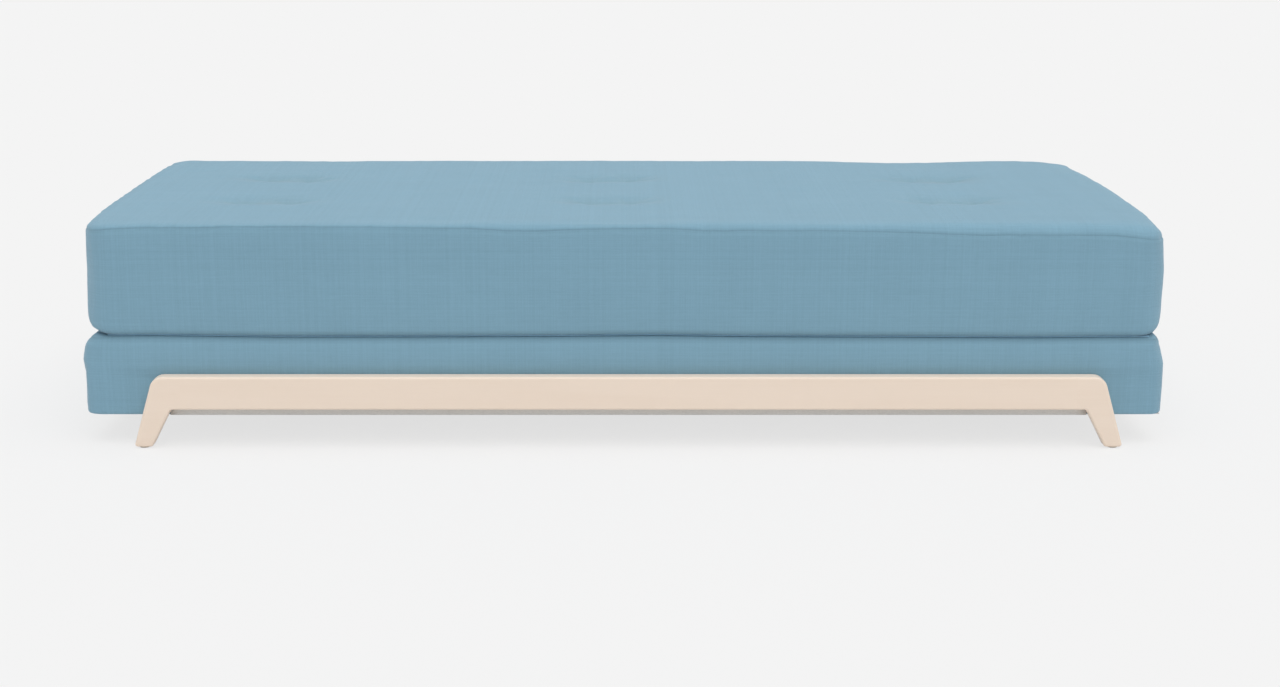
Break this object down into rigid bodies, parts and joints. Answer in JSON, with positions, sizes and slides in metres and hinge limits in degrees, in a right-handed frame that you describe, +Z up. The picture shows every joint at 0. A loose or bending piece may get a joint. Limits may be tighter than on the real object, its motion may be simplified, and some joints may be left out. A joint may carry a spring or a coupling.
{
  "type": "sofa bed",
  "caption": "Low backless sofa bed: tufted mattress on an upholstered base with splayed timber rail frames; the mattress folds over to the front on a fabric hinge to make a bed.",
  "frame": {"origin": "on the floor under the middle of the object's box, at the bottom of the feet", "axes": "+X along the length to the right as seen from the front, -Y to the front where the mattress unfolds, +Z up"},
  "size_m": [2.02, 0.856, 0.4203],
  "materials": {
    "frame_wood": "matte",
    "inner_timber": "matte",
    "felt": "matte",
    "steel": "satin",
    "foam": "matte",
    "base_fabric": "matte",
    "under_fabric": "matte",
    "hinge_fabric": "matte",
    "mattress_fabric": "matte",
    "twine": "matte",
    "toggle_plastic": "matte",
    "zip_fabric": "matte",
    "zip_coil": "satin"
  },
  "bodies": {
    "base": {"front_rail": "frame_wood", "front_leg_left": "frame_wood", "front_leg_right": "frame_wood", "rear_rail": "frame_wood", "rear_leg_left": "frame_wood", "rear_leg_right": "frame_wood", "leg_dowels": "inner_timber", "beam_front": "inner_timber", "beam_rear": "inner_timber", "beam_left": "inner_timber", "beam_right": "inner_timber", "cross_beam_1": "inner_timber", "cross_beam_2": "inner_timber", "cross_beam_3": "inner_timber", "corner_blocks": "inner_timber", "slat_1": "inner_timber", "slat_2": "inner_timber", "slat_3": "inner_timber", "slat_4": "inner_timber", "slat_5": "inner_timber", "slat_6": "inner_timber", "slat_7": "inner_timber", "slat_8": "inner_timber", "slat_9": "inner_timber", "slat_10": "inner_timber", "slat_11": "inner_timber", "slat_12": "inner_timber", "slat_13": "inner_timber", "felt_pads": "felt", "slat_screws": "steel", "beam_screws": "steel", "rail_bolts": "steel", "bolt_washers": "steel", "threaded_inserts": "steel", "base_foam": "foam", "base_cover": "base_fabric", "dust_cover": "under_fabric"},
    "hinge_link": {"hinge_tape": "hinge_fabric"},
    "mattress": {"mattress_core": "foam", "mattress_topper": "foam", "mattress_cover": "mattress_fabric", "tuft_tie_1": "twine", "tuft_tie_2": "twine", "tuft_tie_3": "twine", "tuft_tie_4": "twine", "tuft_tie_5": "twine", "tuft_tie_6": "twine", "tuft_toggles": "toggle_plastic", "zip_tape": "zip_fabric", "zip_coil": "zip_coil", "zip_stops": "steel"},
    "zip_slider": {"zip_slider": "steel"},
    "zip_pull": {"zip_pull": "steel"}
  },
  "joints": [
    {"name": "hinge_slide", "type": "slide", "parent": "base", "child": "hinge_link", "axis": [0, -1, 0], "range_m": [0, 0.05]},
    {"name": "mattress_fold", "type": "hinge", "parent": "hinge_link", "child": "mattress", "pos_m": [0, -0.391, 0.21115], "axis": [1, 0, 0], "range_deg": [0, 180]},
    {"name": "zip_run", "type": "slide", "parent": "mattress", "child": "zip_slider", "axis": [-1, 0, 0], "range_m": [0, 1.782]},
    {"name": "pull_swing", "type": "hinge", "parent": "zip_slider", "child": "zip_pull", "pos_m": [0.891, 0.3991, 0.3148], "axis": [0, 0, -1], "range_deg": [0, 180]}
  ],
  "couplings": [
    {"joint": "hinge_slide", "follows": "mattress_fold", "m_per_rad": 0.015915}
  ]
}
